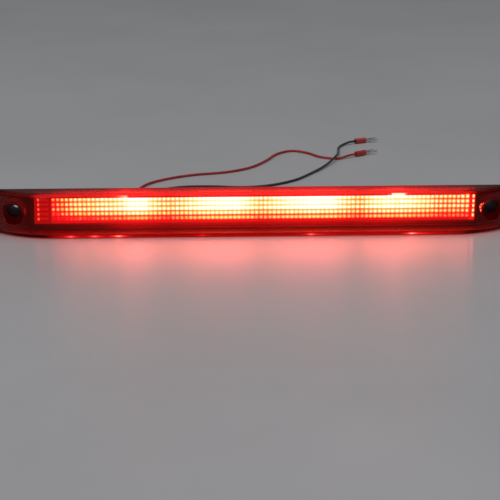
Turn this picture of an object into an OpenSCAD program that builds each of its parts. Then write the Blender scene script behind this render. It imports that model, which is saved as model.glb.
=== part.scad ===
// Third brake light: a long red LED stop lamp with a free two-wire lead.
// Frame: origin under the middle of the lamp, +X along its length, -Y towards the lens
// front, +Y towards the mounting face, +Z up. The lamp stands on the plane z = 0.

/* [Lamp body] */
// Length of the lamp from end to end
lamp_l = 350; // [346:1:360]
// Height of the lamp
lamp_h = 31; // [31:0.5:33]
// Depth from the front of the lens to the mounting face
lamp_d = 35; // [35:0.5:38]
// Fall of the top of the housing towards its back, in degrees
top_fall = 19; // [16:1:20]

/* [Outer lens] */
// Depth of the red lens cap
lens_d = 16; // [15:0.5:16]
// Wall thickness of the lens
lens_wall = 2.5; // [2:0.1:2.5]
// Radius of the long front edges
edge_r = 3; // [2:0.5:4]
// Radius, seen from above, with which the ends sweep back
end_sweep_r = 60; // [60:1:66]

/* [Mounting holes] */
// Distance between the two mounting holes
hole_spacing = 324; // [322:1:324]
// Radius of the hole in each metal sleeve
hole_r = 2.7; // [2.2:0.1:3.2]
// Radius of the round pocket in the lens around each hole
pocket_r = 7.6; // [7:0.1:7.6]

/* [Light window] */
// Length of the window in the inner bezel
window_l = 300; // [290:1:300]
// Height of the window in the inner bezel
window_h = 20.5; // [18:0.5:20.5]
// Place of the window's middle along the lamp
window_x = 1.5; // [0:0.5:1.5]
// Length of the field of light pillows on the optic plate
field_l = 285; // [276:1:285]
// Height of the field of light pillows
field_h = 16.8; // [14:0.1:16.8]

/* [Light source] */
// Reflector bays side by side
bays = 4; // [2:1:4]
// Light emitting diodes in each bay
leds_per_bay = 4; // [2:1:4]
// Length of one bay
bay_l = 68; // [66:1:68]
// Distance between neighbouring diodes in a bay
led_pitch = 15.6; // [12:0.1:16]
// Width and height of a diode's square body
led_w = 7.6; // [6:0.1:7.6]

/* [Leads] */
// Outside diameter of each lead
wire_d = 1.9; // [1.6:0.1:1.9]
// Place along the lamp where the leads come out
cable_x = -83; // [-84:0.5:-82]
// Height at which the leads come out
cable_z = 13; // [12:0.5:14]

/* [Hidden] */
$fn = 48;
eps = 0.01;
front_y = -lamp_d / 2;
rim_y = front_y + lens_d;
back_y = lamp_d / 2;
gasket_t = 1;
house_back_y = back_y - gasket_t;
mid_z = lamp_h / 2;
hole_x = hole_spacing / 2;

// The swept end of the lens is an arc about (arc_x, arc_y).
arc_y = front_y + end_sweep_r;
arc_x = lamp_l / 2 - sqrt(pow(end_sweep_r, 2) - pow(end_sweep_r - lens_d, 2));
sweep_angle = 60;

// Joint between lens and housing: a tongue in a groove with a bead of sealant.
corner_r = 3.5;
groove_out = 1.2;
groove_in = 2.3;
tongue_gap = 0.15;
tongue_y = rim_y + 1.5;
groove_y = rim_y + 2.5;

// Housing
wall = 2.3;
top_wall = 1.6;
rear_wall = 2;
pocket_inset = 3.1;
ledge_y = rim_y + 4.7;
ledge_t = 1.8;
ledge_z = [3.7, lamp_h - 3.7];
cavity_back_y = house_back_y - rear_wall;
cavity_l = lamp_l - 7.2;

// Round lens cups and the towers behind them
cup_wall = 1.3;
cup_floor_y = rim_y + 1;
cup_back_y = rim_y + 3;
well_r = 5;
tower_r = 7.5;
sleeve_y = cup_back_y + 2;
sleeve_r = well_r - 0.05;

// Stack of flat inner pieces, from the front: bezel, optic plate, reflector, board
bezel_t = 1.4;
bezel_l = window_l + 5;
bezel_h = lamp_h - 6.6;
bezel_lip = 0.8;
bezel_y = ledge_y - bezel_t;
optic_y = ledge_y;
optic_t = 2;
optic_h = lamp_h - 8.2;
optic_l = window_l + 4;
pillow_h = 0.9;
tray_y = optic_y + optic_t;
board_t = 1.6;
tray_d = 5.4;
board_y = tray_y + tray_d;
board_back_y = board_y + board_t;
board_l = 294;
board_h = 16;

// The field of pillows is set to one side of the window's middle, with a single column
// of pillows beyond each end.
field_x = 5.3;
column_w = 1.3;
column_x = [-146.6, 149.8];
flute_x = -144.6;
flute_l = 5.4;
flute_n = 5;
flute_pitch = field_h / flute_n;
flute_r = 1.2;

// Reflector: a trough that narrows towards the board
light_x = 3;
tray_wall = 1.2;
tray_front_half = 10.2;
tray_back_half = 7.4;
web_t = 1;

// Diodes
led_t = 2;
dome_r = 2.2;
dome_y = board_y - led_t - 0.6;
pin_half = 2.5;
joint_h = 0.9;

// Small parts on the board
resistor = [6.3, 0.6, 3.1];
resistor_z = mid_z - 6.2;
diode = [4.3, 2, 2.6];
diode_pos = [-110, 0, mid_z + 5.3];
cap_r = 2.4;
cap_len = 4.6;
cap_pos = [-138.2, 0, mid_z + 4.5];
screw_pos = [[-143, mid_z - 4.5], [143, mid_z - 4.5]];
screw_head_r = 2.2;
screw_head_h = 1.5;
screw_r = 1;
screw_end_y = cavity_back_y + 1;
post_x = [-46.6, 52.6];

// Grommet and vent
grommet_r = 4.5;
grommet_flange_r = 6.5;
grommet_tip_y = house_back_y + 10;
wire_gap = 2.8;
wire_bore_r = 1.15;
vent_x = 90;
vent_hole_r = 2.1;

// Terminals crimped on the ends of the leads
sleeve_len = 10;
term_sleeve_r = 2.1;
term_barrel_r = 1.4;
fork_w = 6.4;
fork_slot = 3.7;
fork_t = 0.8;
fork_end = 21;
wire_in = 1;

// Routes of the leads: out of the grommet, down to the surface and along it
wire_r = wire_d / 2;
lie = 1;
out_z = cable_z;
pos_x = cable_x - wire_gap / 2;
neg_x = cable_x + wire_gap / 2;
lead_y = board_back_y;
pos_route = [
    [pos_x, lead_y, out_z], [pos_x, 20, out_z], [pos_x, 28, out_z], [-85, 38, 10],
    [-85.5, 48, 4.5], [-86, 60, 1.6], [-86, 78, lie], [-83, 100, lie], [-75, 120, lie],
    [-60, 135, lie], [-40, 146, lie], [-16, 153, lie], [3, 166, lie], [16, 186, lie],
    [27, 210, lie], [40, 220, lie], [52, 212, lie], [61, 199, lie], [74, 193, lie],
    [85, 199, 2.1], [91, 203, 2.2]
];
neg_route = [
    [neg_x, lead_y, out_z], [neg_x, 20, out_z], [neg_x, 28, out_z], [-80.5, 38, 10],
    [-79.5, 48, 4.5], [-78, 60, 1.6], [-75, 80, lie], [-67, 100, lie], [-50, 110, lie],
    [-28, 111, lie], [-4, 108, lie], [17, 113, lie], [36, 127, lie], [50, 147, lie],
    [63, 169, 1.6], [73.5, 193, 3.1], [77, 212, 1.8], [78.5, 228, lie], [83, 239, lie],
    [89, 244, 2.1], [95, 247, 2.2]
];

// --- helpers -------------------------------------------------------------------------

// Height of the outside of the housing's top at depth y
function top_z(y) = lamp_h - (y - rim_y) * tan(top_fall);

// Middle of bay i, and the place along the lamp of diode j in it
function bay_x(i) = light_x + (i - (bays - 1) / 2) * bay_l;
function led_x(i, j) = bay_x(i) + (j - (leds_per_bay - 1) / 2) * led_pitch;

// Box from one corner to the opposite one
module box(a, b) {
    translate(a) cube(b - a);
}

// Cylinder along +Y, from depth y0 to y1, about (x, z)
module rod_y(x, z, y0, y1, r) {
    translate([x, y1, z]) rotate([90, 0, 0]) cylinder(h = y1 - y0, r = r);
}

// Cone along +Y, with radius r0 at y0 and r1 at y1
module cone_y(x, z, y0, y1, r0, r1) {
    translate([x, y1, z]) rotate([90, 0, 0]) cylinder(h = y1 - y0, r1 = r1, r2 = r0);
}

// Rectangle w by h about (0, 0) with round corners
module round_rect(w, h, r) {
    square([w - 2 * r, h], center = true);
    square([w, h - 2 * r], center = true);
    for (sx = [-1, 1], sz = [-1, 1])
        translate([sx * (w / 2 - r), sz * (h / 2 - r)]) circle(r = r);
}

// Upright plate with round corners, about x = 0 and height z, from y0 to y1
module plate(w, h, r, z, y0, y1) {
    translate([0, y1, z]) rotate([90, 0, 0]) linear_extrude(y1 - y0) round_rect(w, h, r);
}

// The lamp's outline moved in by inset, as a plate from y0 to y1
module outline_plate(inset, y0, y1, r) {
    plate(lamp_l - 2 * inset, lamp_h - 2 * inset, r, mid_z, y0, y1);
}

// Ring that follows the lamp's outline between two insets
module outline_ring(inset_a, inset_b, y0, y1) {
    difference() {
        outline_plate(inset_a, y0, y1, corner_r - inset_a);
        outline_plate(inset_b, y0 - 1, y1 + 1, corner_r - inset_b);
    }
}

// Outline in depth and height, drawn as [y, z] points, extruded along X
module prism_x(points, x0, x1) {
    translate([x0, 0, 0]) rotate([90, 0, 90]) linear_extrude(x1 - x0) polygon(points);
}

// --- outer lens ----------------------------------------------------------------------

// Section of the lens form: x is the distance from the arc's centre, y is the height
module lens_section(inset) {
    r1 = end_sweep_r - inset;
    r0 = end_sweep_r - lens_d - 6;
    rr = max(edge_r - inset, 0.8);
    translate([r0, inset]) square([r1 - rr - r0, lamp_h - 2 * inset]);
    translate([r0, inset + rr]) square([r1 - r0, lamp_h - 2 * (inset + rr)]);
    for (z = [inset + rr, lamp_h - inset - rr])
        translate([r1 - rr, z]) circle(r = rr);
}

// Solid of the lens cap moved in by inset, cut off at the rim, or past it
module lens_form(inset, past) {
    intersection() {
        box([-lamp_l, front_y - 1, -1], [lamp_l, rim_y + past, lamp_h + 1]);
        union() {
            translate([arc_x, arc_y, 0]) rotate([90, 0, -90])
                linear_extrude(2 * arc_x) lens_section(inset);
            for (side = [0, 1])
                mirror([side, 0, 0])
                    translate([arc_x, arc_y, 0]) rotate([0, 0, -90])
                        rotate_extrude(angle = sweep_angle) lens_section(inset);
        }
    }
}

module lens_cup(x) {
    cup_r = pocket_r + cup_wall;
    intersection() {
        rod_y(x, mid_z, front_y, rim_y - 1, cup_r);
        lens_form(0, 0);
    }
    rod_y(x, mid_z, rim_y - 1, cup_back_y, cup_r);
}

module outer_lens() {
    color("crimson") difference() {
        union() {
            difference() {
                lens_form(0, 0);
                lens_form(lens_wall, 1);
            }
            outline_ring(groove_out + tongue_gap, groove_in - tongue_gap, rim_y - eps, tongue_y);
            for (side = [-1, 1]) lens_cup(side * hole_x);
        }
        for (side = [-1, 1]) {
            rod_y(side * hole_x, mid_z, front_y - 1, cup_floor_y, pocket_r);
            rod_y(side * hole_x, mid_z, front_y - 1, cup_back_y + 1, well_r);
        }
    }
}

// Bead of sealant at the bottom of the groove
module lens_seal() {
    color("dimgray") outline_ring(groove_out, groove_in, tongue_y, groove_y);
}

// --- housing -------------------------------------------------------------------------

// Space in the housing behind the ledge, up to the rear wall
module main_cavity() {
    prism_x([
        [ledge_y - eps, wall], [cavity_back_y, wall],
        [cavity_back_y, top_z(cavity_back_y) - top_wall],
        [ledge_y - eps, top_z(ledge_y) - top_wall]
    ], -cavity_l / 2, cavity_l / 2);
}

module housing_shell() {
    difference() {
        intersection() {
            outline_plate(0, rim_y, house_back_y, corner_r);
            prism_x([
                [rim_y - 1, -1], [house_back_y + 1, -1],
                [house_back_y + 1, top_z(house_back_y + 1)],
                [rim_y, lamp_h], [rim_y, lamp_h + 1], [rim_y - 1, lamp_h + 1]
            ], -lamp_l, lamp_l);
        }
        outline_plate(pocket_inset, rim_y - 1, ledge_y, 1);
        main_cavity();
        outline_ring(groove_out, groove_in, rim_y - 1, groove_y);
    }
}

// Low upright ribs that stiffen the rear wall
module rear_ribs() {
    rib_t = 1.6;
    rib_h = 0.7;
    for (x = [-146, -124, -102, -64, -36, -8, 20, 48, 72, 108, 127, 146])
        box([x - rib_t / 2, house_back_y - eps, 6.5], [x + rib_t / 2, house_back_y + rib_h, 19]);
}

module rear_housing() {
    color([0.07, 0.07, 0.08]) difference() {
        union() {
            housing_shell();
            rear_ribs();
            // ledges that the bezel rests on
            box([-cavity_l / 2, ledge_y, wall - eps], [cavity_l / 2, ledge_y + ledge_t, ledge_z[0]]);
            box([-cavity_l / 2, ledge_y, ledge_z[1]],
                [cavity_l / 2, ledge_y + ledge_t, ledge_z[1] + 1.2]);
            for (side = [-1, 1])
                rod_y(side * hole_x, mid_z, cup_back_y, cavity_back_y + eps, tower_r);
            for (p = screw_pos) rod_y(p[0], p[1], board_back_y, cavity_back_y + eps, 2.6);
            for (x = post_x) rod_y(x, mid_z, board_back_y, cavity_back_y + eps, 2);
        }
        for (side = [-1, 1])
            rod_y(side * hole_x, mid_z, cup_back_y - 1, house_back_y + 1, well_r);
        for (p = screw_pos) rod_y(p[0], p[1], board_back_y - 1, screw_end_y, screw_r + 0.05);
        rod_y(cable_x, cable_z, cavity_back_y - 1, house_back_y + 1, grommet_r);
        rod_y(vent_x, cable_z, cavity_back_y - 1, house_back_y + 1, vent_hole_r);
    }
}

// --- light unit ----------------------------------------------------------------------

module inner_bezel() {
    lip_w = window_l + 1.6;
    lip_h = window_h + 1.6;
    color([0.12, 0.12, 0.13]) translate([window_x, 0, 0]) difference() {
        union() {
            plate(bezel_l, bezel_h, 1, mid_z, bezel_y, bezel_y + bezel_t);
            plate(lip_w, lip_h, 1, mid_z, bezel_y - bezel_lip, bezel_y + eps);
        }
        plate(window_l, window_h, 0.6, mid_z, bezel_y - 2, bezel_y + bezel_t + 1);
    }
}

// Raised block, from x0 and w long, that carries pillows on its front
module pillow_block(x0, w) {
    box([x0, optic_y - pillow_h, mid_z - field_h / 2],
        [x0 + w, optic_y + eps, mid_z + field_h / 2]);
}

module optic_plate() {
    color([0.95, 0.85, 0.8, 0.5]) {
        translate([window_x, 0, 0])
            plate(optic_l, optic_h, 1, mid_z, optic_y, optic_y + optic_t);
        pillow_block(field_x - field_l / 2, field_l);
        for (x = column_x) pillow_block(x, column_w);
        // plain flutes beside the field
        for (i = [0:flute_n - 1])
            translate([flute_x, optic_y, mid_z + (i - 2) * flute_pitch])
                rotate([0, 90, 0]) cylinder(h = flute_l, r = flute_r);
    }
}

// Trough section, with half height a at the optic plate and b at the board
module trough(a, b, x0, x1, past) {
    prism_x([
        [tray_y - past, mid_z - a], [board_y + past, mid_z - b],
        [board_y + past, mid_z + b], [tray_y - past, mid_z + a]
    ], x0, x1);
}

module reflector_tray() {
    x0 = light_x - bays * bay_l / 2;
    color("silver") difference() {
        trough(tray_front_half + tray_wall, tray_back_half + tray_wall,
            x0 - tray_wall, x0 + bays * bay_l + tray_wall, 0);
        for (i = [0:bays - 1])
            trough(tray_front_half, tray_back_half,
                x0 + i * bay_l + (i > 0 ? web_t / 2 : 0),
                x0 + (i + 1) * bay_l - (i < bays - 1 ? web_t / 2 : 0), eps);
    }
}

module circuit_board() {
    color("darkgreen") difference() {
        plate(board_l, board_h, 1, mid_z, board_y, board_back_y);
        for (p = screw_pos) rod_y(p[0], p[1], board_y - 1, board_back_y + 1, 1.3);
    }
}

module led_bodies() {
    color("whitesmoke")
        for (i = [0:bays - 1], j = [0:leds_per_bay - 1])
            box([led_x(i, j) - led_w / 2, board_y - led_t, mid_z - led_w / 2],
                [led_x(i, j) + led_w / 2, board_y, mid_z + led_w / 2]);
}

// Epoxy dome on one diode, on its own axis: a short barrel with a half round tip
module dome() {
    barrel = board_y - led_t - dome_y;
    rotate([90, 0, 0]) rotate_extrude() {
        square([dome_r, barrel]);
        translate([0, barrel]) intersection() {
            circle(r = dome_r);
            square(dome_r);
        }
    }
}

module led_domes() {
    color([1, 0.25, 0.2])
        for (i = [0:bays - 1], j = [0:leds_per_bay - 1])
            translate([led_x(i, j), board_y - led_t, mid_z]) dome();
}

module led_solder_joints() {
    color("silver")
        for (i = [0:bays - 1], j = [0:leds_per_bay - 1], sx = [-1, 1], sz = [-1, 1])
            cone_y(led_x(i, j) + sx * pin_half, mid_z + sz * pin_half,
                board_back_y, board_back_y + joint_h, 0.9, 0.35);
}

module series_resistors() {
    color([0.1, 0.1, 0.1])
        for (i = [0:bays - 1])
            translate([bay_x(i) - resistor[0] / 2, board_back_y, resistor_z - resistor[2] / 2])
                cube(resistor);
}

module reverse_diode() {
    color([0.15, 0.15, 0.15])
        translate([diode_pos[0] - diode[0] / 2, board_back_y, diode_pos[2] - diode[2] / 2])
            cube(diode);
}

module filter_capacitor() {
    color("midnightblue")
        rod_y(cap_pos[0], cap_pos[2], board_y - cap_len, board_y, cap_r);
}

module board_screws() {
    color("gray")
        for (p = screw_pos) {
            rod_y(p[0], p[1], board_y - screw_head_h, board_y, screw_head_r);
            rod_y(p[0], p[1], board_y - eps, screw_end_y, screw_r);
        }
}

// --- mounting side -------------------------------------------------------------------

module mounting_gasket() {
    frame_z = (top_z(house_back_y) - 0.1) / 2;
    frame_l = lamp_l - 6;
    frame_h = top_z(house_back_y) - 2.4;
    strip = 2.6;
    color([0.2, 0.2, 0.2]) difference() {
        plate(frame_l, frame_h, 3, frame_z, house_back_y, back_y);
        plate(frame_l - 2 * strip, frame_h - 2 * strip, 1.5, frame_z, house_back_y - 1, back_y + 1);
    }
}

module mounting_sleeves() {
    color("dimgray")
        for (side = [-1, 1])
            difference() {
                rod_y(side * hole_x, mid_z, sleeve_y, back_y, sleeve_r);
                rod_y(side * hole_x, mid_z, sleeve_y - 1, back_y + 1, hole_r);
            }
}

module cable_grommet() {
    lip_r = grommet_r + 1.1;
    lip_t = 1.2;
    flange_t = 2;
    color([0.1, 0.1, 0.1]) difference() {
        union() {
            rod_y(cable_x, cable_z, cavity_back_y - lip_t, cavity_back_y, lip_r);
            rod_y(cable_x, cable_z, cavity_back_y - eps, house_back_y + eps, grommet_r);
            rod_y(cable_x, cable_z, house_back_y, house_back_y + flange_t, grommet_flange_r);
            cone_y(cable_x, cable_z, house_back_y + flange_t - eps, grommet_tip_y, grommet_r, 3);
        }
        for (x = [pos_x, neg_x])
            rod_y(x, cable_z, cavity_back_y - 3, grommet_tip_y + 1, wire_bore_r);
    }
}

module vent_plug() {
    head_t = 0.8;
    color([0.25, 0.25, 0.25]) difference() {
        union() {
            rod_y(vent_x, cable_z, cavity_back_y - 1, house_back_y + eps, vent_hole_r - 0.05);
            rod_y(vent_x, cable_z, house_back_y, house_back_y + head_t, 4);
        }
        rod_y(vent_x, cable_z, cavity_back_y - 2, house_back_y + 1, 0.8);
        rod_y(vent_x, cable_z, house_back_y + 0.4, house_back_y + 1, 1.7);
    }
}

module vent_membrane() {
    color("white")
        rod_y(vent_x, cable_z, house_back_y + 0.4, house_back_y + 0.65, 1.65);
}

// --- leads ---------------------------------------------------------------------------

function unit(v) = v / norm(v);

// Point at share t of the way between points i and i + 1, on a smooth curve through all
function at(p, i) = i < 0 ? 2 * p[0] - p[1] : i >= len(p) ? 2 * p[len(p) - 1] - p[len(p) - 2] : p[i];
function smooth_point(p, i, t) =
    let (a = at(p, i - 1), b = at(p, i), c = at(p, i + 1), d = at(p, i + 2))
    0.5 * (2 * b + (c - a) * t + (2 * a - 5 * b + 4 * c - d) * t * t
        + (3 * b - a - 3 * c + d) * t * t * t);
function raised(q) = [q[0], q[1], max(q[2], lie)];
function smooth_path(p) = [
    for (i = [0:len(p) - 2], t = [0, 0.5]) raised(smooth_point(p, i, t)), p[len(p) - 1]
];

// Ring of points about path point i
function tangent(p, i) = unit(p[min(i + 1, len(p) - 1)] - p[max(i - 1, 0)]);
function ring(p, i, r, n) =
    let (t = tangent(p, i), s = unit(cross(t, [0, 0, 1])), u = cross(s, t))
    [for (k = [0:n - 1]) p[i] + r * (cos(360 * k / n) * s + sin(360 * k / n) * u)];

module tube(route, r) {
    n = 8;
    p = smooth_path(route);
    m = len(p);
    points = [for (i = [0:m - 1], q = ring(p, i, r, n)) q];
    sides = [for (i = [0:m - 2], k = [0:n - 1])
        [i * n + k, i * n + (k + 1) % n, (i + 1) * n + (k + 1) % n, (i + 1) * n + k]];
    ends = [[for (k = [n - 1:-1:0]) k], [for (k = [0:n - 1]) (m - 1) * n + k]];
    polyhedron(points = points, faces = concat(sides, ends));
}

// Puts a piece, drawn along +X, on the far end of a lead
module at_end(route) {
    path = smooth_path(route);
    last = path[len(path) - 1];
    before = path[len(path) - 2];
    translate(last)
        rotate([0, 0, atan2(last[1] - before[1], last[0] - before[0])])
            children();
}

module rod_x(x0, x1, r) {
    translate([x0, 0, 0]) rotate([0, 90, 0]) cylinder(h = x1 - x0, r = r);
}

// Metal fork terminal: barrel, neck and open fork
module fork_terminal() {
    fork_x = sleeve_len + 2.4;
    slot_x = fork_end - 5.6;
    difference() {
        union() {
            rod_x(0, sleeve_len - wire_in - 0.4, term_barrel_r);
            box([sleeve_len - wire_in - 0.6, -1.3, -fork_t / 2], [fork_x, 1.3, fork_t / 2]);
            translate([(fork_x + fork_end - 1) / 2, 0, 0])
                linear_extrude(fork_t, center = true)
                    round_rect(fork_end - 1 - fork_x, fork_w, 1.2);
        }
        translate([slot_x, 0, -1]) cylinder(h = 2, r = fork_slot / 2);
        box([slot_x, -fork_slot / 2, -1], [fork_end + 1, fork_slot / 2, 1]);
    }
}

module terminal_sleeve() {
    difference() {
        rod_x(-wire_in, sleeve_len - wire_in, term_sleeve_r);
        rod_x(-wire_in - 1, sleeve_len, term_barrel_r + 0.05);
    }
}

module wire_solder_joints() {
    color("silver")
        for (x = [pos_x, neg_x])
            difference() {
                cone_y(x, cable_z, board_back_y, board_back_y + 1, 1.35, 1.15);
                rod_y(x, cable_z, board_back_y - 1, board_back_y + 2, wire_r);
            }
}

module positive_lead() {
    color("firebrick") tube(pos_route, wire_r);
}

module negative_lead() {
    color([0.12, 0.1, 0.1]) tube(neg_route, wire_r);
}

module positive_terminal() {
    color("lightgray") at_end(pos_route) fork_terminal();
}

module negative_terminal() {
    color("lightgray") at_end(neg_route) fork_terminal();
}

module positive_terminal_sleeve() {
    color("red") at_end(pos_route) terminal_sleeve();
}

module negative_terminal_sleeve() {
    color("red") at_end(neg_route) terminal_sleeve();
}

outer_lens();
rear_housing();
inner_bezel();
optic_plate();
reflector_tray();
circuit_board();
led_bodies();
led_domes();
led_solder_joints();
series_resistors();
reverse_diode();
filter_capacitor();
board_screws();
lens_seal();
mounting_gasket();
mounting_sleeves();
cable_grommet();
vent_plug();
vent_membrane();
wire_solder_joints();
positive_lead();
negative_lead();
positive_terminal();
negative_terminal();
positive_terminal_sleeve();
negative_terminal_sleeve();
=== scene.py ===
import math

import bmesh
import bpy
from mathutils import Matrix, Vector


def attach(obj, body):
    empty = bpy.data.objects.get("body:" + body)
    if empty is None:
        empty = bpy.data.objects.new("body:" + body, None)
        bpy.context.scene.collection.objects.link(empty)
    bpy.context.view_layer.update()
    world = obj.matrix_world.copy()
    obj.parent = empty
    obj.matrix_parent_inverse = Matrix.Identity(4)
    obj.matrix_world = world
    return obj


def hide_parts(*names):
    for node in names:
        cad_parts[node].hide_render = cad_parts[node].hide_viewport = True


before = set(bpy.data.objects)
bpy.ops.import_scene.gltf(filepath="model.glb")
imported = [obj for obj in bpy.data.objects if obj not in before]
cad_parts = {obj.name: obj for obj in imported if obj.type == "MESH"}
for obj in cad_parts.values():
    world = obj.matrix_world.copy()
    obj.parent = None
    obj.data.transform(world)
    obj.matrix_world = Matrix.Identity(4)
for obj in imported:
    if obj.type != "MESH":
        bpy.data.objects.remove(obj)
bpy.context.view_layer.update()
MM = 0.001

# Camera: place and direction of view in metres, focal length in millimetres
CAMERA_AT = Vector((-0.0371, -1.0129, 0.3061))
CAMERA_LOOK = Vector((0.0327, 0.9529, -0.3014))
CAMERA_LENS = 111.6

# Leads, in millimetres: radius, height of a lead's axis where it lies on the surface, how far
# back the grommet reaches, the grommet's axis, and the routes
WIRE_R = 0.95
LIE = 1.0
GROMMET_TIP_Y = 26.5
CABLE_X, CABLE_Z = -83, 13
POS_ROUTE = [
    (-84.4, 12.2, 13), (-84.4, 20, 13), (-84.4, 28, 13), (-85, 38, 10), (-85.5, 48, 4.5),
    (-86, 60, 1.6), (-86, 78, 1), (-83, 100, 1), (-75, 120, 1), (-60, 135, 1),
    (-40, 146, 1), (-16, 153, 1), (3, 166, 1), (16, 186, 1), (27, 210, 1), (40, 220, 1),
    (52, 212, 1), (61, 199, 1), (74, 193, 1), (85, 199, 2.1), (91, 203, 2.2),
]
NEG_ROUTE = [
    (-81.6, 12.2, 13), (-81.6, 20, 13), (-81.6, 28, 13), (-80.5, 38, 10), (-79.5, 48, 4.5),
    (-78, 60, 1.6), (-75, 80, 1), (-67, 100, 1), (-50, 110, 1), (-28, 111, 1), (-4, 108, 1),
    (17, 113, 1), (36, 127, 1), (50, 147, 1), (63, 169, 1.6), (73.5, 193, 3.1),
    (77, 212, 1.8), (78.5, 228, 1), (83, 239, 1), (89, 244, 2.1), (95, 247, 2.2),
]
# Side, route, slot and colour of each lead
LEADS = (
    ("positive", POS_ROUTE, "wire_red", (0.5, 0.012, 0.016)),
    ("negative", NEG_ROUTE, "wire_black", (0.025, 0.022, 0.023)),
)

# Optic plate and bezel, in millimetres: the field of pillows, the plate, the bezel's steps from
# front to back and its sizes, the lone columns beyond the field, and the flutes
MID_Z = 15.5
FIELD_X0, FIELD_X1 = -137.2, 147.8
FIELD_HALF_H = 8.4
COLUMNS, ROWS = 95, 5
FIELD_FRONT_Y = 2.3
PLATE_Y0, PLATE_Y1 = 3.2, 5.2
PLATE_X, PLATE_L, PLATE_H = 1.5, 304, 22.8
COLUMN_PITCH = (FIELD_X1 - FIELD_X0) / COLUMNS
ROW_PITCH = 2 * FIELD_HALF_H / ROWS
BEZEL_Y = (1.0, 1.8, 3.19)
BEZEL_PLATE, BEZEL_LIP, BEZEL_WINDOW = (305, 24.4), (301.6, 22.1), (300, 20.5)
LONE_COLUMNS = (-146.6, 149.8)
LONE_COLUMN_W = 1.3
FLUTE_X0, FLUTE_X1, FLUTE_R = -144.6, -139.2, 1.2

# Screw holes: place, and radius of the lens's cups outside
HOLE_X, CUP_R = 162, 8.9

# Housing, in millimetres: height, fall of its roof, where its rim and its rear lie, and where
# its round corners begin
LAMP_H = 31
ROOF_FALL = math.tan(math.radians(19))
RIM_Y, REAR_Y, END_X = -1.5, 16.5, 171.4
# Its edges are rounded from this length on, and a corner this near to a face lies on it
LONG_EDGE, NEAR = 3, 0.02

# Copies of CAD meshes, in metres and radians: distance for joining corners, before and after
# rounding, angle between faces that count as one, and angle of an edge that is rounded
JOIN, REJOIN = 2e-6, 4e-6
FLAT, SHARP = math.radians(0.6), math.radians(28)

# How hot the light is along the lamp: place in millimetres, share of the hottest
HOT_ALONG = [
    (-137, 0.0), (-131, 0.15), (-123, 0.35), (-115, 0.4), (-107, 0.5), (-98, 0.6),
    (-90, 0.72), (-84, 0.95), (-74, 0.95), (-68, 0.7), (-62, 0.48), (-52, 0.52),
    (-44, 0.68), (-36, 0.85), (-22, 0.95), (-8, 0.92), (0, 0.7), (6, 0.55), (14, 0.75),
    (28, 0.92), (42, 1.0), (54, 0.95), (64, 0.65), (73, 0.45), (80, 0.7), (90, 0.86),
    (106, 0.8), (114, 0.68), (120, 0.55), (127, 0.34), (138, 0.3), (148, 0.25),
]
# Light that runs along the lower lip of the lens, with a spot in front of some diodes
LIP_ALONG = [
    (-140, 0.0), (-133, 0.35), (-127, 0.65), (-123, 0.95), (-119, 0.65), (-114, 0.42),
    (-111, 0.65), (-107, 0.95), (-103, 0.65), (-98, 0.5), (-94, 0.75), (-91, 1.0),
    (-87, 0.65), (-80, 0.3), (-42, 0.26), (-35, 0.6), (-28, 0.28), (28, 0.3), (35, 0.55),
    (38, 0.85), (42, 0.55), (60, 0.36), (98, 0.4), (103, 0.7), (106, 1.0), (111, 0.7),
    (128, 0.4), (150, 0.05),
]
# Glow in the lens above and below the window
GLOW_ALONG = [
    (-158, 0.0), (-135, 0.08), (-102, 0.3), (-88, 0.9), (-74, 0.85), (-58, 0.6),
    (-30, 0.85), (0, 0.8), (40, 1.0), (66, 0.75), (92, 0.8), (115, 0.45), (140, 0.15),
    (158, 0.0),
]
# Half of the length that these three tables cover, in millimetres
LIGHT_SPAN = 160.0

# What the lens lets through of red, green and blue, what its surfaces leave of the light, and
# how strong the lit plate behind it is
LENS_TINT = (0.96, 0.20, 0.16)
LENS_LOSS = 0.92
LIGHT_STRENGTH = 12.0


# --- node trees ----------------------------------------------------------------------


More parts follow.
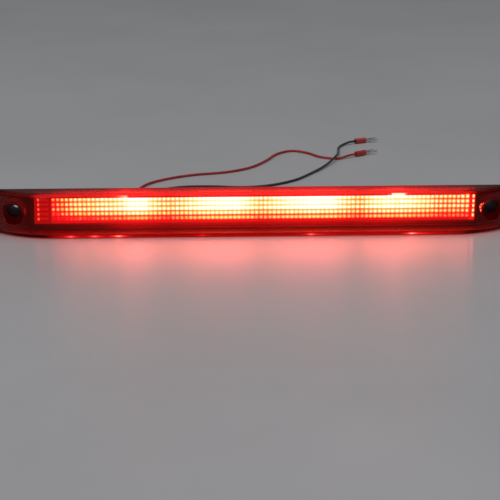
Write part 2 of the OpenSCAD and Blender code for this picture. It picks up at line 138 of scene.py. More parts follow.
class Tree:
    """Node tree of one material, with short calls for what the materials share."""

    def __init__(self, name):
        self.mat = bpy.data.materials.new(name)
        self.mat.use_nodes = True
        self.nodes = self.mat.node_tree.nodes
        self.links = self.mat.node_tree.links
        self.shader = self.nodes["Principled BSDF"]
        self.output = self.nodes["Material Output"]
        self.place = self.nodes.new("ShaderNodeTexCoord").outputs["Object"]
        split = self.nodes.new("ShaderNodeSeparateXYZ")
        self.links.new(self.place, split.inputs[0])
        self.x, self.y, self.z = split.outputs

    def put(self, socket, value):
        """Links a node's output to the socket, or sets a constant on it."""
        if isinstance(value, bpy.types.NodeSocket):
            self.links.new(value, socket)
        else:
            socket.default_value = (*value, 1) if isinstance(value, tuple) and len(
                value) == 3 and socket.type == "RGBA" else value

    def set(self, **inputs):
        """Sets inputs of the Principled shader, named with _ for a space."""
        for name, value in inputs.items():
            self.put(self.shader.inputs[name.replace("_", " ")], value)

    def math(self, op, a, b=0.0, c=None, clamp=False):
        """Result of a Math node."""
        node = self.nodes.new("ShaderNodeMath")
        node.operation = op
        node.use_clamp = clamp
        self.put(node.inputs[0], a)
        self.put(node.inputs[1], b)
        if c is not None:
            self.put(node.inputs[2], c)
        return node.outputs[0]

    def times(self, first, *others):
        """Product of two or more levels."""
        for other in others:
            first = self.math("MULTIPLY", first, other)
        return first

    def line(self, value, factor, start, clamp=False):
        """start, plus factor times the value."""
        return self.math("MULTIPLY_ADD", value, factor, start, clamp)

    def mm(self, value, offset=0):
        """A coordinate in millimetres, measured from offset."""
        return self.line(value, 1 / MM, -offset)

    def humps(self, distance, pitch):
        """Round humps from 0 to 1 and back, one for each pitch."""
        return self.math("ABSOLUTE", self.math("SINE", self.times(distance, math.pi / pitch)))

    def fade(self, value, low, high):
        """0 where value is low or beyond, 1 where it is high, smooth between."""
        node = self.nodes.new("ShaderNodeMapRange")
        node.interpolation_type = "SMOOTHSTEP"
        self.put(node.inputs["Value"], value)
        node.inputs["From Min"].default_value = min(low, high)
        node.inputs["From Max"].default_value = max(low, high)
        node.inputs["To Min"].default_value = 0 if low < high else 1
        node.inputs["To Max"].default_value = 1 if low < high else 0
        return node.outputs["Result"]

    def noise(self, size_mm, detail=2.0, stretch=None, rough=0.5):
        """Noise with features of about size_mm, stretched along the axes by stretch."""
        node = self.nodes.new("ShaderNodeTexNoise")
        node.inputs["Scale"].default_value = 1 / (size_mm * MM)
        node.inputs["Detail"].default_value = detail
        node.inputs["Roughness"].default_value = rough
        self.links.new(self.stretched(stretch), node.inputs["Vector"])
        return node.outputs["Fac"]

    def cells(self, size_mm, feature="F1", stretch=None):
        """Distance within cells of about size_mm."""
        node = self.nodes.new("ShaderNodeTexVoronoi")
        node.feature = feature
        node.inputs["Scale"].default_value = 1 / (size_mm * MM)
        self.links.new(self.stretched(stretch), node.inputs["Vector"])
        return node.outputs["Distance"]

    def stretched(self, stretch):
        """The place in the frame, divided by stretch along each axis."""
        if stretch is None:
            return self.place
        node = self.nodes.new("ShaderNodeMapping")
        node.inputs["Scale"].default_value = [1 / s for s in stretch]
        self.links.new(self.place, node.inputs["Vector"])
        return node.outputs["Vector"]

    def ramp(self, value, stops):
        """Colours or levels between 0 and 1, as (place, colour or level) stops."""
        node = self.nodes.new("ShaderNodeValToRGB")
        node.color_ramp.interpolation = "LINEAR"
        elements = node.color_ramp.elements
        while len(elements) < len(stops):
            elements.new(0.5)
        for element, (place, _) in zip(elements, stops):
            element.position = place
        for element, (_, colour) in zip(elements, stops):
            c = colour if isinstance(colour, tuple) else (colour,) * 3
            element.color = (*c, 1)
        self.links.new(value, node.inputs["Fac"])
        return node.outputs["Color"]

    def mix(self, fac, a, b):
        """Colour a where fac is 0 and b where it is 1."""
        node = self.nodes.new("ShaderNodeMix")
        node.data_type = "RGBA"
        self.put(node.inputs[0], fac)
        self.put(node.inputs[6], a)
        self.put(node.inputs[7], b)
        return node.outputs[2]

    def level(self, fac, a, b):
        """Level a where fac is 0 and b where it is 1."""
        node = self.nodes.new("ShaderNodeMix")
        self.put(node.inputs[0], fac)
        self.put(node.inputs[2], a)
        self.put(node.inputs[3], b)
        return node.outputs[0]

    def bump(self, height, depth_mm, strength, under=None):
        """Relief of depth_mm on the shader's normal, over the relief under it."""
        node = self.nodes.new("ShaderNodeBump")
        node.inputs["Strength"].default_value = strength
        node.inputs["Distance"].default_value = depth_mm * MM
        self.links.new(height, node.inputs["Height"])
        if under is not None:
            self.links.new(under, node.inputs["Normal"])
        self.links.new(node.outputs["Normal"], self.shader.inputs["Normal"])
        return node.outputs["Normal"]

    def along(self, table):
        """Level along the lamp, from a table of places and levels."""
        share = self.line(self.x, 1 / (2 * LIGHT_SPAN * MM), 0.5)
        return self.ramp(share, [(0.5 + mm / (2 * LIGHT_SPAN), level)
                                 for mm, level in table])

    def band(self, value, low, high, soft):
        """1 where value lies between low and high, with soft edges."""
        return self.times(self.fade(value, low - soft, low + soft),
                          self.fade(value, high + soft, high - soft))

    def flares(self):
        """Level of the two places where a lamp shines up past the light field."""
        x = self.mm(self.x)
        left = self.times(self.fade(x, -98, -86), self.fade(x, -83.6, -85))
        right = self.times(self.fade(x, 90, 93), self.fade(x, 106, 99))
        return self.line(left, 0.8, right)


# --- materials -----------------------------------------------------------------------


def plastic(name, colour, rough=0.5, grain=0.25, depth=0.012, mottle=0.25, worn=0.0,
            coat=0.0):
    """Moulded plastic or rubber: fine grain, faint mottling, handled patches and dust."""
    t = Tree(name)
    dark = tuple(c * (1 - mottle) for c in colour)
    pale = tuple(min(1, c * (1 + mottle) + 0.004) for c in colour)
    base = t.ramp(t.noise(9, 4, rough=0.6), [(0.3, dark), (0.7, pale)])
    dust = t.fade(t.noise(1.6, 5, rough=0.7), 0.62, 0.82)
    base = t.mix(t.times(dust, 0.10 + worn), base, (0.32, 0.31, 0.3))
    t.set(Base_Color=base)
    handled = t.noise(22, 3)
    t.set(Roughness=t.line(handled, 0.24, rough - 0.12, clamp=True))
    fine = t.bump(t.cells(grain), depth, 0.7)
    t.bump(t.noise(30, 2), 0.12, 0.5, under=fine)
    if coat:
        t.set(Coat_Weight=coat, Coat_Roughness=0.12)
    return t


def metal(name, colour, rough=0.3, stretch=(1, 1, 12), grain=0.5, tarnish=0.3):
    """Plated or brushed metal with tarnish and fine drawn lines."""
    t = Tree(name)
    dull = tuple(c * (1 - tarnish) for c in colour)
    base = t.ramp(t.noise(3.5, 5, rough=0.65), [(0.35, dull), (0.65, colour)])
    t.set(Base_Color=base, Metallic=1.0)
    lines = t.noise(grain, 3, stretch)
    t.set(Roughness=t.line(lines, 0.25, rough - 0.1, clamp=True))
    t.bump(lines, 0.006, 0.6)
    return t


def behind_lens(red, green, blue):
    """Colour of a lamp that looks like this through the lens, at LIGHT_STRENGTH."""
    return tuple(min(1.0, c / (LENS_LOSS * tint * LIGHT_STRENGTH))
                 for c, tint in zip((red, green, blue), LENS_TINT))


def lens_material():
    """Clear red moulding, with light that runs in its walls round the window."""
    t = Tree("lens_red_clear")
    x, y, z = t.mm(t.x), t.mm(t.y), t.mm(t.z)

    # The roof and the bottom are rougher than the front; their deeper red and darker reflections
    # are painted shade, and all reflections on the lens carry a painted red tint
    haze = t.noise(40, 4)
    scratches = t.fade(t.noise(0.5, 2, (30, 1, 2)), 0.66, 0.74)
    roof = t.times(t.fade(z, 27.5, 28.4), t.fade(y, -16.7, -15.6))
    flat = t.math("MAXIMUM", roof, t.fade(z, 3.4, 2.4))
    rough = t.line(scratches, 0.05, t.line(haze, 0.05, 0.01))
    hazy = tuple(c * 0.92 for c in LENS_TINT)
    tint = t.mix(t.fade(haze, 0.35, 0.7), LENS_TINT, hazy)
    t.set(Base_Color=t.mix(flat, tint, (0.4, 0.015, 0.01)),
          Roughness=t.line(flat, 0.22, rough), IOR=1.49, Transmission_Weight=1.0,
          Specular_Tint=t.mix(flat, (1.0, 0.2, 0.2), (0.45, 0.03, 0.03)))
    wave = t.bump(t.noise(26, 2), 0.05, 0.5)
    t.bump(t.noise(0.35, 2, (20, 1, 1)), 0.001, 0.4, under=wave)

    t.set(Emission_Color=wall_light(t, x, y, z), Emission_Strength=2.5)
    let_lamps_through(t)
    return t


def wall_light(t, x, y, z):
    """Colour of the light that leaves the lens's walls, at a place in millimetres."""
    # Glow on the outside: on the roof by depth, and on the front by height
    top, front = t.fade(z, 28.6, 30.4), t.fade(y, -16.2, -17.0)
    above = t.ramp(t.math("DIVIDE", y, -20), [
        (0.1, 0.39), (0.24, 0.35), (0.36, 0.21), (0.5, 0.12), (0.62, 0.14), (0.74, 0.25),
        (0.8, 0.1)])
    below = t.ramp(t.math("DIVIDE", z, 32), [
        (0.0, 0.12), (0.08, 0.12), (0.14, 0.08), (0.195, 0.08), (0.225, 0.18), (0.265, 0.28),
        (0.3, 0.24), (0.32, 0.0)])
    streaks = t.line(t.noise(3.5, 2, (14, 1, 1)), 0.5, 0.75)
    level = t.line(below, front, t.times(top, above))
    level = t.times(level, t.along(GLOW_ALONG), streaks)
    level = t.line(t.band(x, -150, 152, 8), -0.004, t.math("ADD", level, 0.010))

    # Line along the upper edge, and the flares on it
    edge = t.times(t.fade(z, 28.6, 29.6), t.fade(y, -14.6, -15.8), t.band(x, -149, 151, 4))
    level = t.line(edge, 0.48, level)
    flare = t.times(t.band(z, 27.5, 30.0, 0.5), t.fade(y, -15.2, -16.2), t.flares())
    level = t.math("MAXIMUM", t.line(flare, 0.5, level), t.times(flare, 1.1))

    # Lower lip
    lip = t.times(t.along(LIP_ALONG), t.band(z, 0.6, 2.8, 0.9), front)
    level = t.line(lip, 0.85, level)

    # Glint on the side of each cup that faces the window, weaker on the right one
    past_cup = t.math("SUBTRACT", t.math("ABSOLUTE", x), HOLE_X - CUP_R)
    glint = t.times(t.band(past_cup, -0.3, 0.5, 0.4), t.band(z, 16.5, 20.5, 2.0),
                    t.line(t.fade(x, 10, -10), 0.8, 0.2), t.band(y, -13, -4, 3))
    level = t.line(glint, 0.2, level)
    return t.ramp(level, [
        (0.0, (0.0, 0.0, 0.0)), (0.5, (0.2, 0.0004, 0.001)), (0.7, (0.5, 0.01, 0.01)),
        (0.86, (1.0, 0.1, 0.08)), (1.0, (1.0, 0.4, 0.2))])


def let_lamps_through(t):
    """Makes the lens clear to light on its way from a lamp, instead of casting a shadow."""
    clear = t.nodes.new("ShaderNodeBsdfTransparent")
    clear.inputs["Color"].default_value = (*(math.sqrt(c) for c in LENS_TINT), 1)
    path = t.nodes.new("ShaderNodeLightPath")
    both = t.nodes.new("ShaderNodeMixShader")
    t.links.new(path.outputs["Is Shadow Ray"], both.inputs[0])
    t.links.new(t.shader.outputs[0], both.inputs[1])
    t.links.new(clear.outputs[0], both.inputs[2])
    t.links.new(both.outputs[0], t.output.inputs["Surface"])


def pillow_light(t, hot):
    """Light of the pillows: bright spots in rows, with gaps that fill up where it is hot."""
    across = t.math("POWER", t.humps(t.mm(t.x, FIELD_X0), COLUMN_PITCH), 0.9)
    upward = t.math("POWER", t.humps(t.mm(t.z, MID_Z - FIELD_HALF_H), ROW_PITCH), 0.9)
    wide = t.line(t.math("ADD", across, -1.0), t.line(hot, -0.6, 1.0), 1.0)
    dot = t.times(wide, upward)

    # Levels in the gaps and at the peaks, by height: 0 at the field's lower edge, 1 at the top
    up = t.line(t.mm(t.z, MID_Z), 1 / (2 * FIELD_HALF_H), 0.5)
    gap_hot = t.ramp(up, [(0.0, 0.0), (0.18, 0.04), (0.36, 0.13), (0.44, 0.37), (0.9, 0.42),
                          (1.0, 0.32)])
    gap = t.line(gap_hot, t.math("POWER", hot, 1.4), 0.47)
    peak_row = t.ramp(up, [(0.06, 0.58), (0.14, 0.61), (0.24, 0.74), (0.34, 0.78),
                           (0.42, 0.88), (1.0, 0.86)])
    rise = t.ramp(up, [(0.12, 0.26), (0.3, 0.2), (0.5, 0.14)])
    dim_corner = t.times(t.fade(up, 0.25, 0.15), t.fade(t.mm(t.x), -45, -60))
    peak = t.line(dim_corner, -0.08, t.line(hot, rise, peak_row))
    level = t.line(dot, t.math("SUBTRACT", peak, gap), gap)

    # Pillows and columns differ a little, less where it is hot
    speck = t.line(t.noise(1.7, 1), 0.34, -0.17)
    column = t.line(t.noise(4.5, 0, (1, 1000, 1000)), 0.24, -0.12)
    uneven = t.times(t.math("ADD", speck, column), t.line(hot, -0.7, 1.0))
    return t.math("ADD", level, t.times(uneven, dot))


def border_light(t, hot, x, z, rows):
    """Light round the field: borders, flares, flutes and the lone columns of pillows."""
    # Above and below the field, with a brighter line near the plate's edge
    border = t.ramp(t.line(z, 1 / 20, 0.5), [
        (0.0, 0.36), (0.03, 0.45), (0.06, 0.36), (0.08, 0.42), (0.5, 0.3), (0.92, 0.5),
        (0.95, 0.58), (1.0, 0.52)])
    border = t.times(border, t.line(hot, 0.18, 0.86))
    border = t.line(t.times(t.flares(), t.band(z, 8.2, 10.2, 0.4)), 0.5, border)
    border = t.level(t.fade(x, FIELD_X0 + 0.3, FIELD_X0 - 0.3), border, 0.24)
    border = t.level(t.fade(x, FIELD_X1 - 0.3, FIELD_X1 + 0.3), border, 0.45)

    # Dim flutes, the lone columns, and a line at the window's left end
    row = t.humps(t.mm(t.z, MID_Z - FIELD_HALF_H), ROW_PITCH)
    zones = [(FLUTE_X0, FLUTE_X1, 0.2, 0.17, 0.17)]
    for x0, base, dots in zip(LONE_COLUMNS, (0.28, 0.46), (0.36, 0.44)):
        zones.append((x0, x0 + LONE_COLUMN_W, 0.1, dots, base))
    for x0, x1, soft, dots, base in zones:
        border = t.level(t.times(rows, t.band(x, x0, x1, soft)), border,
                         t.line(row, dots, base))
    return t.line(t.band(x, -148.6, -147.9, 0.2), 0.08, border)


def optic_material():
    """Clear plate lit from behind: bright pillows, red gaps, dim flutes, red border."""
    t = Tree("optic_lit")
    hot = t.along(HOT_ALONG)
    x, z = t.mm(t.x), t.mm(t.z, MID_Z)
    rows = t.fade(t.math("ABSOLUTE", z), FIELD_HALF_H + 0.15, FIELD_HALF_H - 0.15)
    field = t.times(rows, t.band(x, FIELD_X0, FIELD_X1, 0.15))
    # The field is dimmer on its first 20 mm
    left_end = t.ramp(t.line(x, 1 / 20, 139 / 20), [(0.09, 0.8), (0.5, 0.92), (1.0, 1.0)])
    light = t.level(field, border_light(t, hot, x, z, rows),
                    t.times(pillow_light(t, hot), left_end))
    colour = t.ramp(light, [
        (0.0, (0.0, 0.0, 0.0)), (0.1, behind_lens(0.05, 0.0, 0.0)),
        (0.2, behind_lens(0.2, 0.001, 0.001)), (0.35, behind_lens(0.5, 0.002, 0.003)),
        (0.5, behind_lens(0.95, 0.005, 0.01)), (0.6, behind_lens(1.6, 0.05, 0.03)),
        (0.72, behind_lens(3.4, 0.4, 0.08)), (0.82, behind_lens(5.5, 0.78, 0.22)),
        (0.9, behind_lens(7.5, 1.0, 0.6)), (1.0, behind_lens(10.0, 1.3, 1.4))])
    t.set(Base_Color=(0.35, 0.12, 0.1), Roughness=0.2, IOR=1.49)
    t.set(Emission_Color=colour, Emission_Strength=LIGHT_STRENGTH)
    t.bump(t.noise(0.8, 2), 0.01, 0.3)
    return t


def bezel_material():
    """Dark plastic, red near the window where the light field shines on it."""
    t = plastic("bezel_dark", (0.045, 0.04, 0.042), rough=0.42, depth=0.006)
    from_window = t.math("SUBTRACT", t.math("ABSOLUTE", t.mm(t.z, MID_Z)), BEZEL_WINDOW[1] / 2)
    level = t.times(t.fade(from_window, 3.0, -0.4), t.band(t.mm(t.x), -146, 150, 8),
                    t.along(GLOW_ALONG))
    t.set(Emission_Color=t.mix(level, (0.0, 0.0, 0.0), (1.0, 0.02, 0.02)))
    t.set(Emission_Strength=0.5)
    return t


def board_material():
    """Green solder mask over copper lines, with a faint glass weave."""
    t = Tree("board_green_mask")
    lines = t.fade(t.humps(t.mm(t.z, MID_Z), 2.2), 0.5, 0.62)
    breaks = t.fade(t.cells(7, "DISTANCE_TO_EDGE", (3, 1, 1)), 0.02, 0.05)
    copper = t.times(lines, breaks)
    base = t.mix(copper, (0.008, 0.07, 0.03), (0.02, 0.16, 0.07))
    base = t.mix(t.times(t.fade(t.noise(2.5, 4), 0.55, 0.8), 0.3), base,
                 (0.05, 0.2, 0.1))
    t.set(Base_Color=base, Coat_Weight=0.4, Coat_Roughness=0.2)
    t.set(Roughness=t.line(t.noise(6, 3), 0.2, 0.3))
    under = t.bump(copper, 0.03, 0.8)
    t.bump(t.cells(0.5), 0.008, 0.5, under=under)
    return t


def dome_material():
    """Clear red epoxy, lit: brightest at the tip."""
    t = Tree("led_dome_lit")
    tip = t.fade(t.mm(t.y), 8.6, 6.2)
    swirl = t.noise(1.1, 2)
    t.set(Base_Color=t.ramp(swirl, [(0.3, (0.9, 0.12, 0.08)), (0.7, (1.0, 0.22, 0.15))]))
    t.set(Roughness=t.line(swirl, 0.12, 0.04), IOR=1.54)
    t.set(Transmission_Weight=0.5)
    t.set(Emission_Color=t.mix(tip, (0.5, 0.03, 0.02), (1.0, 0.2, 0.08)))
    t.set(Emission_Strength=5.0)
    t.bump(t.noise(0.6, 2), 0.01, 0.3)
    return t


def floor_material():
    """Pale smooth surface, whose gloss is drawn out towards the viewer."""
    t = Tree("floor_pale")
    t.set(Base_Color=t.ramp(t.noise(180, 4), [(0.35, (0.62, 0.62, 0.63)),
                                              (0.65, (0.66, 0.66, 0.67))]))
    t.set(Roughness=t.line(t.noise(60, 3), 0.06, 0.22))
    t.set(Anisotropic=0.7, Anisotropic_Rotation=0.25)
    grain = t.nodes.new("ShaderNodeTangent")
    grain.direction_type = "UV_MAP"
    t.put(t.shader.inputs["Tangent"], grain.outputs[0])
    t.bump(t.noise(1.2, 3), 0.01, 0.25)
    return t


# CAD nodes shown as copies of their meshes: slot, rounding of the edges in millimetres, material
COPIES = {
    "outer_lens": ("lens_red", 0, lens_material),
    "rear_housing": ("housing_black", 0.6, lambda: plastic(
        "housing_black_grained", (0.022, 0.022, 0.024), 0.52, 0.45, 0.02, worn=0.04)),
    "mounting_gasket": ("gasket_foam", 0.2, lambda: plastic(
        "foam_black", (0.035, 0.035, 0.037), 0.95, 0.5, 0.12)),
    "cable_grommet": ("grommet_rubber", 0.3, lambda: plastic(
        "rubber_black", (0.02, 0.02, 0.021), 0.7, 0.3, 0.01)),
    "lens_seal": ("seal_grey", 0.08, lambda: plastic(
        "sealant_grey", (0.08, 0.08, 0.085), 0.6, 1.2, 0.05)),
    "vent_plug": ("vent_grey", 0.12, lambda: plastic(
        "vent_grey_moulded", (0.09, 0.09, 0.095), 0.5, 0.2, 0.008)),
    "vent_membrane": ("vent_white", 0.05, lambda: plastic(
        "membrane_white", (0.8, 0.8, 0.79), 0.9, 0.12, 0.02, mottle=0.05)),
    "mounting_sleeves": ("sleeve_steel", 0.2, lambda: metal(
        "zinc_dark", (0.07, 0.07, 0.073), 0.5, (1, 12, 1))),
    "reflector_tray": ("reflector_silver", 0.12, lambda: metal(
        "metallised", (0.86, 0.86, 0.88), 0.14, (8, 1, 1), 1.2, 0.06)),
    "led_bodies": ("led_white", 0.2, lambda: plastic(
        "led_body_white", (0.8, 0.79, 0.75), 0.4, 0.3, 0.006, mottle=0.05)),
    "circuit_board": ("board_green", 0.1, board_material),
    "led_domes": ("led_red", 0, dome_material),
    "led_solder_joints": ("solder", 0.06, lambda: metal(
        "solder_bright", (0.74, 0.75, 0.76), 0.2, (1, 1, 1), 0.6)),
    "wire_solder_joints": ("solder", 0.05, lambda: metal(
        "solder_wire", (0.74, 0.75, 0.76), 0.22, (1, 1, 1), 0.6)),
    "series_resistors": ("component_black", 0.1, lambda: plastic(
        "resistor_black", (0.03, 0.03, 0.032), 0.4, 0.2, 0.006)),
    "reverse_diode": ("component_black", 0.2, lambda: plastic(
        "diode_black", (0.03, 0.03, 0.032), 0.45, 0.2, 0.006)),
    "filter_capacitor": ("capacitor_sleeve", 0.2, lambda: plastic(
        "capacitor_dark", (0.02, 0.03, 0.09), 0.3, 0.8, 0.006, coat=0.5)),
    "board_screws": ("screw_steel", 0.15, lambda: metal(
        "screw_zinc", (0.55, 0.55, 0.56), 0.3, (1, 1, 1))),
    "positive_terminal": ("terminal_tin", 0.12, lambda: metal(
        "tin_positive", (0.78, 0.78, 0.77), 0.24, (10, 4, 1), 0.3, 0.18)),
    "negative_terminal": ("terminal_tin", 0.12, lambda: metal(
        "tin_negative", (0.78, 0.78, 0.77), 0.24, (10, 4, 1), 0.3, 0.18)),
    "positive_terminal_sleeve": ("terminal_sleeve_red", 0.15, lambda: plastic(
        "sleeve_red_positive", (0.6, 0.03, 0.03), 0.35, 0.4, 0.004, coat=0.3)),
    "negative_terminal_sleeve": ("terminal_sleeve_red", 0.15, lambda: plastic(
        "sleeve_red_negative", (0.6, 0.03, 0.03), 0.35, 0.4, 0.004, coat=0.3)),
}


# --- pieces --------------------------------------------------------------------------


def smooth_path(route, steps):
    """Points in millimetres on a smooth curve through all the points of route."""
    p = [Vector(q) for q in route]
    p = [2 * p[0] - p[1]] + p + [2 * p[-1] - p[-2]]
    path = []
    for a, b, c, d in zip(p, p[1:], p[2:], p[3:]):
        for k in range(steps):
            t = k / steps
            q = 0.5 * (2 * b + (c - a) * t + (2 * a - 5 * b + 4 * c - d) * t * t
                       + (3 * b - a - 3 * c + d) * t * t * t)
            path.append(Vector((q.x, q.y, max(q.z, LIE))))
    return path + [p[-2]]


def make_lead(name, route, mat):
    """Round wire along a route, which takes the place of the lead's CAD node."""
    path = [q * MM for q in smooth_path(route, 6)]
    curve = bpy.data.curves.new(name, "CURVE")
    curve.dimensions = "3D"
    curve.bevel_depth = WIRE_R * MM
    curve.bevel_resolution = 4
    curve.use_fill_caps = True
    spline = curve.splines.new("POLY")
    spline.points.add(len(path) - 1)
    for point, q in zip(spline.points, path):
        point.co = (*q, 1)
    spline.use_smooth = True
    lead = bpy.data.objects.new(name + "_wire", curve)
    bpy.context.scene.collection.objects.link(lead)
    curve.materials.append(mat)
    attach(lead, "root")
    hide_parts(name)


def add_piece(name, mesh, mat, slot, *nodes):
    """A visible piece that takes the place of CAD nodes and rides on the root body."""
    mesh.materials.append(mat)
    obj = bpy.data.objects.new(name, mesh)
    bpy.context.scene.collection.objects.link(obj)
    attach(obj, "root")
    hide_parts(*nodes)
    return obj


def on_rim(edge):
    """Whether a long edge of the housing lies on two of its roof, rear, ends and bottom."""
    if edge.calc_length() < LONG_EDGE * MM:
        return False
    marks = []
    for vert in edge.verts:
        x, y, z = (v / MM for v in vert.co)
        roof_z = LAMP_H - (y - RIM_Y) * ROOF_FALL
        marks.append((abs(roof_z - z) < NEAR, abs(y - REAR_Y) < NEAR, abs(x) > END_X, z < NEAR))
    return sum(a and b for a, b in zip(*marks)) > 1


def copy_of(node, mat, slot, bevel, extra):
    """A copy of a CAD node's mesh, in its place, with rounded edges and an extra mesh."""
    bm = bmesh.new()
    bm.from_mesh(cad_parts[node].data)
    bmesh.ops.remove_doubles(bm, verts=bm.verts, dist=JOIN)
    if bevel:
        bmesh.ops.dissolve_limit(bm, angle_limit=FLAT, verts=bm.verts, edges=bm.edges,
                                 use_dissolve_boundaries=False)
    edges = [e for e in bm.edges if len(e.link_faces) == 2 and e.calc_face_angle(0) > SHARP]
    rounded = [e for e in edges if bevel and (node != "rear_housing" or on_rim(e))]
    if rounded != edges:
        for e in edges:
            e.smooth = e in rounded
    if bevel:
        bmesh.ops.bevel(bm, geom=rounded, offset=bevel * MM, segments=2, profile=0.5,
                        affect="EDGES", clamp_overlap=False, loop_slide=True)
        bmesh.ops.remove_doubles(bm, verts=bm.verts, dist=REJOIN)
    if extra:
        bm.from_mesh(extra)
    mesh = bpy.data.meshes.new(node + "_fine")
    bm.to_mesh(mesh)
    bm.free()
    for p in mesh.polygons:
        p.use_smooth = True
    obj = add_piece(node + "_fine", mesh, mat, slot, node)
    obj.modifiers.new("normals", "WEIGHTED_NORMAL").keep_sharp = True


class Shape:
    """Collects vertices in millimetres and faces for one mesh."""

    def __init__(self):
        self.verts, self.faces = [], []

    def grid(self, rows, closed=False, flip=False):
        """A sheet of quads through rows of points; closed joins each row's two ends."""
        start, n = len(self.verts), len(rows[0])
        for row in rows:
            self.verts += [Vector(p) * MM for p in row]
        for i in range(len(rows) - 1):
            for k in range(n if closed else n - 1):
                a = start + i * n + k
                b = start + i * n + (k + 1) % n
                face = (a, b, b + n, a + n)
                self.faces.append(face[::-1] if flip else face)
        return start

    def cap(self, start, n, flip=False):
        """One face on n points from start on."""
        face = tuple(range(start, start + n))
        self.faces.append(face[::-1] if flip else face)

    def mesh(self, name, smooth=True):
        """The finished mesh, with the corners that meet joined."""
        mesh = bpy.data.meshes.new(name)
        mesh.from_pydata(self.verts, [], self.faces)
        bm = bmesh.new()
        bm.from_mesh(mesh)
        bmesh.ops.remove_doubles(bm, verts=bm.verts, dist=0.001 * MM)
        bmesh.ops.recalc_face_normals(bm, faces=bm.faces)
        bm.to_mesh(mesh)
        bm.free()
        for p in mesh.polygons:
            p.use_smooth = smooth
        return mesh


def pillow_front(shape, x0, x1, columns):
    """Closed block with rows of pillows on its front, from x0 to x1."""
    steps = 6  # across one pillow
    crown = 0.55
    base = FIELD_FRONT_Y + crown
    nx, nz = columns * steps, ROWS * steps
    dome = [(1 - (2 * k / steps - 1) ** 2) ** 0.6 for k in range(steps)]
    rows = [[(x0 + k * (x1 - x0) / nx, base - crown * dome[i % steps] * dome[k % steps],
              MID_Z - FIELD_HALF_H + i * ROW_PITCH / steps) for k in range(nx + 1)]
            for i in range(nz + 1)]
    shape.grid(rows)
    ring = (rows[0] + [r[-1] for r in rows[1:-1]] + rows[-1][::-1]
            + [r[0] for r in rows[1:-1]][::-1])
    back = [(x, PLATE_Y0 + 0.01, z) for x, y, z in ring]
    start = shape.grid([ring, back], closed=True)
    shape.cap(start + len(ring), len(ring))


def round_bar(shape, x0, x1, y, z, r, n=16):
    """Half-sunk bar along X with domed ends."""
    rows = []
    for x, s in ((x0, 0.0), (x0 + 0.1 * r, 0.5), (x0 + 0.5 * r, 0.88), (x0 + r, 1.0),
                 (x1 - r, 1.0), (x1 - 0.5 * r, 0.88), (x1 - 0.1 * r, 0.5), (x1, 0.0)):
        s = max(s, 0.02)
        rows.append([(x, y - r * s * math.cos(2 * math.pi * k / n),
                      z + r * s * math.sin(2 * math.pi * k / n)) for k in range(n)])
    start = shape.grid(rows, closed=True)
    shape.cap(start, n, flip=True)
    shape.cap(start + (len(rows) - 1) * n, n)


def ring_bead(shape, x, y, z, radius, r, around=40, n=10):
    """Round bead of radius r, in a ring about the +Y axis through (x, z)."""
    rows = []
    for i in range(around + 1):
        a = 2 * math.pi * i / around
        rows.append([(x + (radius + r * math.cos(b)) * math.cos(a), y + r * math.sin(b),
                      z + (radius + r * math.cos(b)) * math.sin(a))
                     for b in (2 * math.pi * k / n for k in range(n))])
    shape.grid(rows, closed=True)


def grommet_beads():
    """Beads round the strain relief."""
    shape = Shape()
    for k in range(5):
        y = GROMMET_TIP_Y - 1.2 - 1.35 * k
        ring_bead(shape, CABLE_X, y, CABLE_Z, 3.22 + 0.24 * k, 0.32)
    return shape.mesh("grommet_beads")


def outline(w, h, r, x, y, z, n=6):
    """Rectangle w by h about (x, z) at depth y, with round corners."""
    points = []
    for q, (sx, sz) in enumerate(((1, 1), (-1, 1), (-1, -1), (1, -1))):
        for k in range(n + 1):
            a = math.pi / 2 * (q + k / n)
            points.append((x + sx * (w / 2 - r) + r * math.cos(a), y,
                           z + sz * (h / 2 - r) + r * math.sin(a)))
    return points


def rounded_plate(shape, w, h, r, x, y0, y1, edge):
    """Plate w by h about (x, MID_Z) with round corners and eased edges, from y0 to y1."""
    steps = ((edge, 0), (edge * 0.3, edge * 0.3), (0, edge))
    ends = [(inset, y0 + dy) for inset, dy in steps] + [
        (inset, y1 - dy) for inset, dy in steps[::-1]]
    rows = [outline(w - 2 * i, h - 2 * i, r - i, x, y, MID_Z) for i, y in ends]
    count = len(rows[0])
    start = shape.grid(rows, closed=True)
    shape.cap(start, count, flip=True)
    shape.cap(start + (len(rows) - 1) * count, count)


def make_bezel(mat):
    """Frame round the window, with a raised lip along the window's edge."""
    e = 0.2
    front, step, back = BEZEL_Y
    (w, h), (lip_w, lip_h), (in_w, in_h) = BEZEL_PLATE, BEZEL_LIP, BEZEL_WINDOW
    section = [(w - 2 * e, h - 2 * e, 0.8, step), (w, h, 1, step + e), (w, h, 1, back - e),
               (w - 2 * e, h - 2 * e, 0.8, back), (in_w, in_h, 0.6, back),
               (in_w, in_h, 0.6, front + e), (in_w + e, in_h + e, 0.7, front),
               (lip_w - e, lip_h - e, 0.9, front), (lip_w, lip_h, 1, front + e),
               (lip_w, lip_h, 1, step - 0.05), (lip_w + 0.1, lip_h + 0.1, 1, step)]
    rows = [outline(*size, PLATE_X, y, MID_Z) for *size, y in section]
    shape = Shape()
    shape.grid(rows + rows[:1], closed=True)
    mesh = shape.mesh("inner_bezel_framed", smooth=False)
    add_piece("inner_bezel_framed", mesh, mat, "bezel_grey", "inner_bezel")


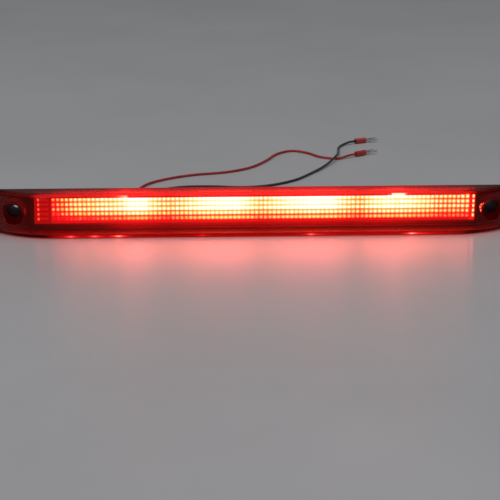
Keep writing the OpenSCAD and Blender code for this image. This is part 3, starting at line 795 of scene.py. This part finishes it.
def make_optic(mat):
    """Plate with its field of pillows, the lone columns, the flutes and two bars of border."""
    shape = Shape()
    rounded_plate(shape, PLATE_L, PLATE_H, 1.0, PLATE_X, PLATE_Y0, PLATE_Y1, 0.25)
    pillow_front(shape, FIELD_X0, FIELD_X1, COLUMNS)
    for x0 in LONE_COLUMNS:
        pillow_front(shape, x0, x0 + LONE_COLUMN_W, 1)
    for i in range(ROWS):
        round_bar(shape, FLUTE_X0, FLUTE_X1, PLATE_Y0, MID_Z + (i - 2) * ROW_PITCH, FLUTE_R)
    for side in (-1, 1):
        round_bar(shape, -149, 152, PLATE_Y0, MID_Z + side * 9.6, 0.35, 10)
    mesh = shape.mesh("optic_plate_pillowed")
    add_piece("optic_plate_pillowed", mesh, mat, "optic_clear", "optic_plate")


# --- scene ---------------------------------------------------------------------------


def make_camera():
    """Camera in front of the lamp and above it, without shift or depth of field."""
    data = bpy.data.cameras.new("camera")
    data.lens = CAMERA_LENS
    data.sensor_width = 36
    data.clip_start, data.clip_end = 0.01, 100
    camera = bpy.data.objects.new("camera", data)
    camera.location = CAMERA_AT
    camera.rotation_mode = "QUATERNION"
    camera.rotation_quaternion = CAMERA_LOOK.to_track_quat("-Z", "Y")
    bpy.context.scene.collection.objects.link(camera)
    bpy.context.scene.camera = camera


def make_floor():
    """Pale floor, with the UV map that its brushed gloss follows."""
    mesh = bpy.data.meshes.new("floor")
    mesh.from_pydata([(-8, -8, 0), (8, -8, 0), (8, 8, 0), (-8, 8, 0)], [], [(0, 1, 2, 3)])
    corners = mesh.uv_layers.new(name="plane")
    for loop, uv in zip(corners.data, ((0, 0), (1, 0), (1, 1), (0, 1))):
        loop.uv = uv
    mesh.materials.append(floor_material().mat)
    obj = bpy.data.objects.new("floor", mesh)
    bpy.context.scene.collection.objects.link(obj)


def add_light(name, at, aim, size, watts, colour=(1, 1, 1)):
    """Soft rectangular light at a place, turned towards aim."""
    data = bpy.data.lights.new(name, "AREA")
    data.shape = "RECTANGLE"
    data.size, data.size_y = size
    data.energy = watts
    data.color = colour
    obj = bpy.data.objects.new(name, data)
    obj.location = at
    obj.rotation_mode = "QUATERNION"
    obj.rotation_quaternion = (Vector(aim) - Vector(at)).to_track_quat("-Z", "Y")
    bpy.context.scene.collection.objects.link(obj)


def make_lights():
    """Plain soft studio light: one large lamp above, a weak one at the left, and dim air."""
    add_light("overhead", (0.0, -0.3, 2.4), (0, 0, 0), (4.0, 3.0), 31)
    add_light("left_fill", (-2.2, -1.0, 1.2), (0, 0, 0.02), (1.6, 1.6), 6, (0.95, 0.97, 1))
    world = bpy.data.worlds.new("world")
    bpy.context.scene.world = world
    world.use_nodes = True
    background = world.node_tree.nodes["Background"]
    background.inputs["Color"].default_value = (0.86, 0.88, 0.92, 1)
    background.inputs["Strength"].default_value = 0.12


make_camera()
for node, (slot, bevel, make) in COPIES.items():
    copy_of(node, make().mat, slot, bevel, grommet_beads() if node == "cable_grommet" else None)
for side, route, slot, colour in LEADS:
    pvc = plastic(slot + "_pvc", colour, rough=0.34, grain=0.5, depth=0.004, mottle=0.2, coat=0.3)
    make_lead(side + "_lead", route, pvc.mat)
make_optic(optic_material().mat)
make_bezel(bezel_material().mat)
make_floor()
make_lights()
bpy.context.scene.view_settings.view_transform = "Standard"
